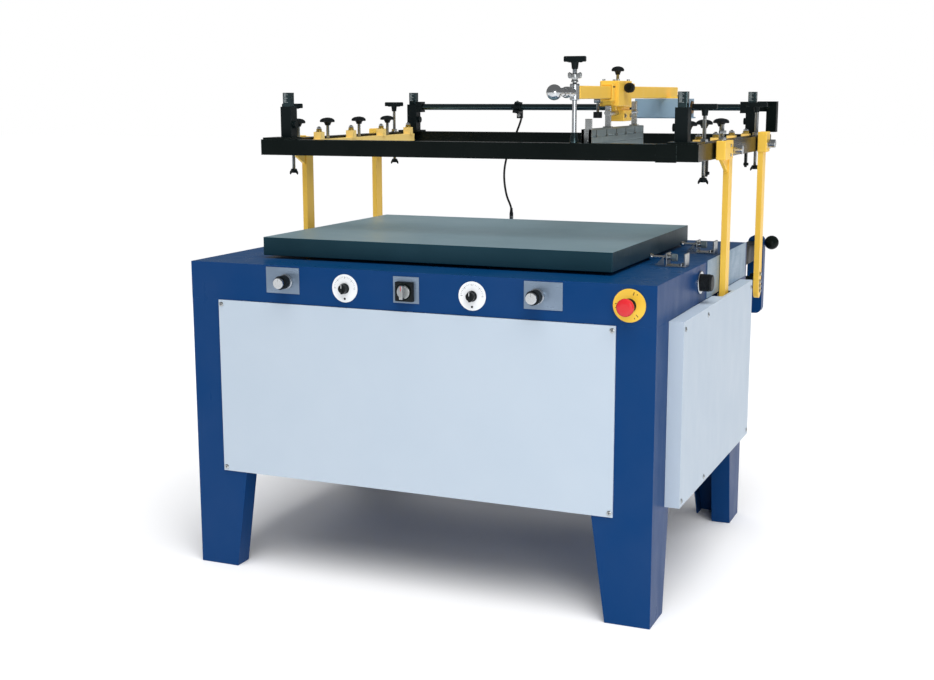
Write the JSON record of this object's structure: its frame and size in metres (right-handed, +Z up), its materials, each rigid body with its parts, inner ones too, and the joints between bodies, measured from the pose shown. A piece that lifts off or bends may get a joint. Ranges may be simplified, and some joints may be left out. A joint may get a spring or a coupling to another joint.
{
  "type": "flatbed screen printing press",
  "caption": "Semi-automatic flatbed screen press: steel base with vacuum table, swinging parallelogram screen carrier and a one-arm squeegee on a cross rail.",
  "frame": {"origin": "centre of the whole object's footprint at floor level", "axes": "+X to the operator's right, +Y from the front (controls) to the back, +Z up"},
  "size_m": [1.32, 1.386, 1.309],
  "materials": {
    "blue_paint": "semi-gloss powder coat",
    "pale_panel": "satin coated sheet",
    "deck_paint": "semi-gloss coat",
    "grey_plate": "satin",
    "screw_zinc": "zinc",
    "black_iron": "painted",
    "black_gloss": "gloss paint",
    "dark_steel": "dark, oiled",
    "bright_steel": "ground",
    "yellow_paint": "semi-gloss paint",
    "yellow_alloy": "painted",
    "alloy": "anodised",
    "black_plastic": "fine texture",
    "white_disc": "smooth",
    "red_plastic": "smooth",
    "table_skin": "ground and oiled",
    "bronze": "machined",
    "blade_rubber": "cut",
    "cable_rubber": "matt"
  },
  "bodies": {
    "base": {"housing": "blue_paint", "leg_front_left": "blue_paint", "leg_front_right": "blue_paint", "leg_rear_left": "blue_paint", "leg_rear_right": "blue_paint", "front_panel": "pale_panel", "rear_panel": "pale_panel", "left_cover": "pale_panel", "right_cover": "pale_panel", "deck": "deck_paint", "side_plates": "grey_plate", "panel_screws": "screw_zinc", "front_bearings": "bright_steel", "shaft_bearings": "black_iron", "rear_pillars": "blue_paint", "pillar_brackets": "black_iron", "control_plates": "grey_plate", "legend_discs": "white_disc", "switch_box": "black_plastic", "control_collars": "bright_steel", "vacuum_blower": "alloy", "lift_cylinder": "alloy", "register_brackets": "bright_steel"},
    "rod": {"cylinder_rod": "bright_steel"},
    "cradle": {"table_cradle": "dark_steel"},
    "table": {"table_top": "table_skin"},
    "speed_left": {"speed_knob_left": "black_plastic"},
    "speed_right": {"speed_knob_right": "black_plastic"},
    "dial_left": {"dial_knob_left": "black_plastic"},
    "dial_right": {"dial_knob_right": "black_plastic"},
    "main_switch": {"switch_handle": "bright_steel"},
    "stop_button": {"estop_button": "red_plastic"},
    "regulator": {"regulator_knob": "black_plastic"},
    "knob_left": {"ball_knob_left": "black_plastic"},
    "knob_right": {"ball_knob_right": "black_plastic"},
    "rear_lift": {"rear_arms": "yellow_paint", "torsion_shaft": "dark_steel"},
    "front_lift": {"front_arms": "yellow_paint"},
    "carrier": {"carrier_frame": "black_gloss", "corner_sleeves": "black_gloss", "post_tubes": "dark_steel", "squeegee_rail": "dark_steel", "rail_bracket": "black_iron", "pivot_pins": "bright_steel", "stroke_stop": "black_plastic", "support_straps": "black_iron", "frame_screws": "bright_steel", "stop_cable": "cable_rubber", "stop_plug": "black_plastic"},
    "clamp_left": {"clamp_bar_left": "yellow_alloy", "clamp_knobs_left": "black_plastic"},
    "clamp_right": {"clamp_bar_right": "yellow_alloy", "clamp_knobs_right": "black_plastic"},
    "bushes": {"rail_bushes": "bronze"},
    "arm": {"carriage": "alloy", "squeegee_arm": "yellow_alloy"},
    "height": {"height_screw": "bright_steel"},
    "head": {"squeegee_head": "yellow_alloy"},
    "holder": {"squeegee_holder": "alloy", "squeegee_blade": "blade_rubber"}
  },
  "joints": [
    {"name": "lift", "type": "hinge", "parent": "base", "child": "rear_lift", "pos_m": [0, 0.428, 0.675], "axis": [1, 0, 0], "range_deg": [0, 56]},
    {"name": "carrier_level", "type": "hinge", "parent": "rear_lift", "child": "carrier", "pos_m": [0, 0.428, 1.075], "axis": [1, 0, 0], "range_deg": [-56, 0]},
    {"name": "front_arm_swing", "type": "hinge", "parent": "base", "child": "front_lift", "pos_m": [0, -0.022, 0.675], "axis": [1, 0, 0], "range_deg": [0, 56]},
    {"name": "rod_stroke", "type": "slide", "parent": "base", "child": "rod", "axis": [0, 1, 0], "range_m": [0, 0.083]},
    {"name": "table_shift_x", "type": "slide", "parent": "base", "child": "cradle", "axis": [1, 0, 0], "range_m": [-0.008, 0.008]},
    {"name": "table_shift_y", "type": "slide", "parent": "cradle", "child": "table", "axis": [0, 1, 0], "range_m": [-0.01, 0.01]},
    {"name": "speed_turn_left", "type": "hinge", "parent": "base", "child": "speed_left", "pos_m": [-0.33, -0.647, 0.762], "axis": [0, -1, 0], "range_deg": [-135, 135]},
    {"name": "speed_turn_right", "type": "hinge", "parent": "base", "child": "speed_right", "pos_m": [0.33, -0.647, 0.762], "axis": [0, -1, 0], "range_deg": [-135, 135]},
    {"name": "dial_turn_left", "type": "hinge", "parent": "base", "child": "dial_left", "pos_m": [-0.168, -0.647, 0.753], "axis": [0, -1, 0], "range_deg": [-135, 135]},
    {"name": "dial_turn_right", "type": "hinge", "parent": "base", "child": "dial_right", "pos_m": [0.168, -0.647, 0.753], "axis": [0, -1, 0], "range_deg": [-135, 135]},
    {"name": "switch_turn", "type": "hinge", "parent": "base", "child": "main_switch", "pos_m": [-0.004, -0.647, 0.755], "axis": [0, -1, 0], "range_deg": [0, 90]},
    {"name": "stop_press", "type": "slide", "parent": "base", "child": "stop_button", "axis": [0, 1, 0], "range_m": [0, 0.006], "stiffness_N_per_m": 800, "springref_m": -0.002},
    {"name": "regulator_turn", "type": "hinge", "parent": "base", "child": "regulator", "pos_m": [0.611, -0.249, 0.757], "axis": [1, 0, 0], "range_deg": [-180, 180]},
    {"name": "ball_knob_turn_left", "type": "hinge", "parent": "base", "child": "knob_left", "pos_m": [-0.6, 0.568, 0.775], "axis": [-1, 0, 0], "continuous": true},
    {"name": "ball_knob_turn_right", "type": "hinge", "parent": "base", "child": "knob_right", "pos_m": [0.6, 0.568, 0.775], "axis": [1, 0, 0], "continuous": true},
    {"name": "clamp_slide_left", "type": "slide", "parent": "carrier", "child": "clamp_left", "axis": [1, 0, 0], "range_m": [0, 0.03]},
    {"name": "clamp_slide_right", "type": "slide", "parent": "carrier", "child": "clamp_right", "axis": [-1, 0, 0], "range_m": [0, 0.03]},
    {"name": "squeegee_travel", "type": "slide", "parent": "carrier", "child": "bushes", "axis": [1, 0, 0], "range_m": [-0.35, 0.08]},
    {"name": "arm_raise", "type": "hinge", "parent": "bushes", "child": "arm", "pos_m": [0.29, 0.58, 1.176], "axis": [-1, 0, 0], "range_deg": [0, 55]},
    {"name": "height_turn", "type": "hinge", "parent": "arm", "child": "height", "pos_m": [0.29, -0.281, 1.2], "axis": [0, 0, 1], "continuous": true},
    {"name": "head_slide", "type": "slide", "parent": "arm", "child": "head", "axis": [0, 1, 0], "range_m": [-0.04, 0.12]},
    {"name": "head_tilt", "type": "hinge", "parent": "head", "child": "holder", "pos_m": [0.29, 0.118, 1.166], "axis": [0, 1, 0], "range_deg": [-12, 12]}
  ],
  "couplings": [
    {"joint": "carrier_level", "follows": "lift", "ratio": -1},
    {"joint": "front_arm_swing", "follows": "lift", "ratio": 1},
    {"joint": "rod_stroke", "follows": "lift", "m_per_rad": 0.084866}
  ]
}
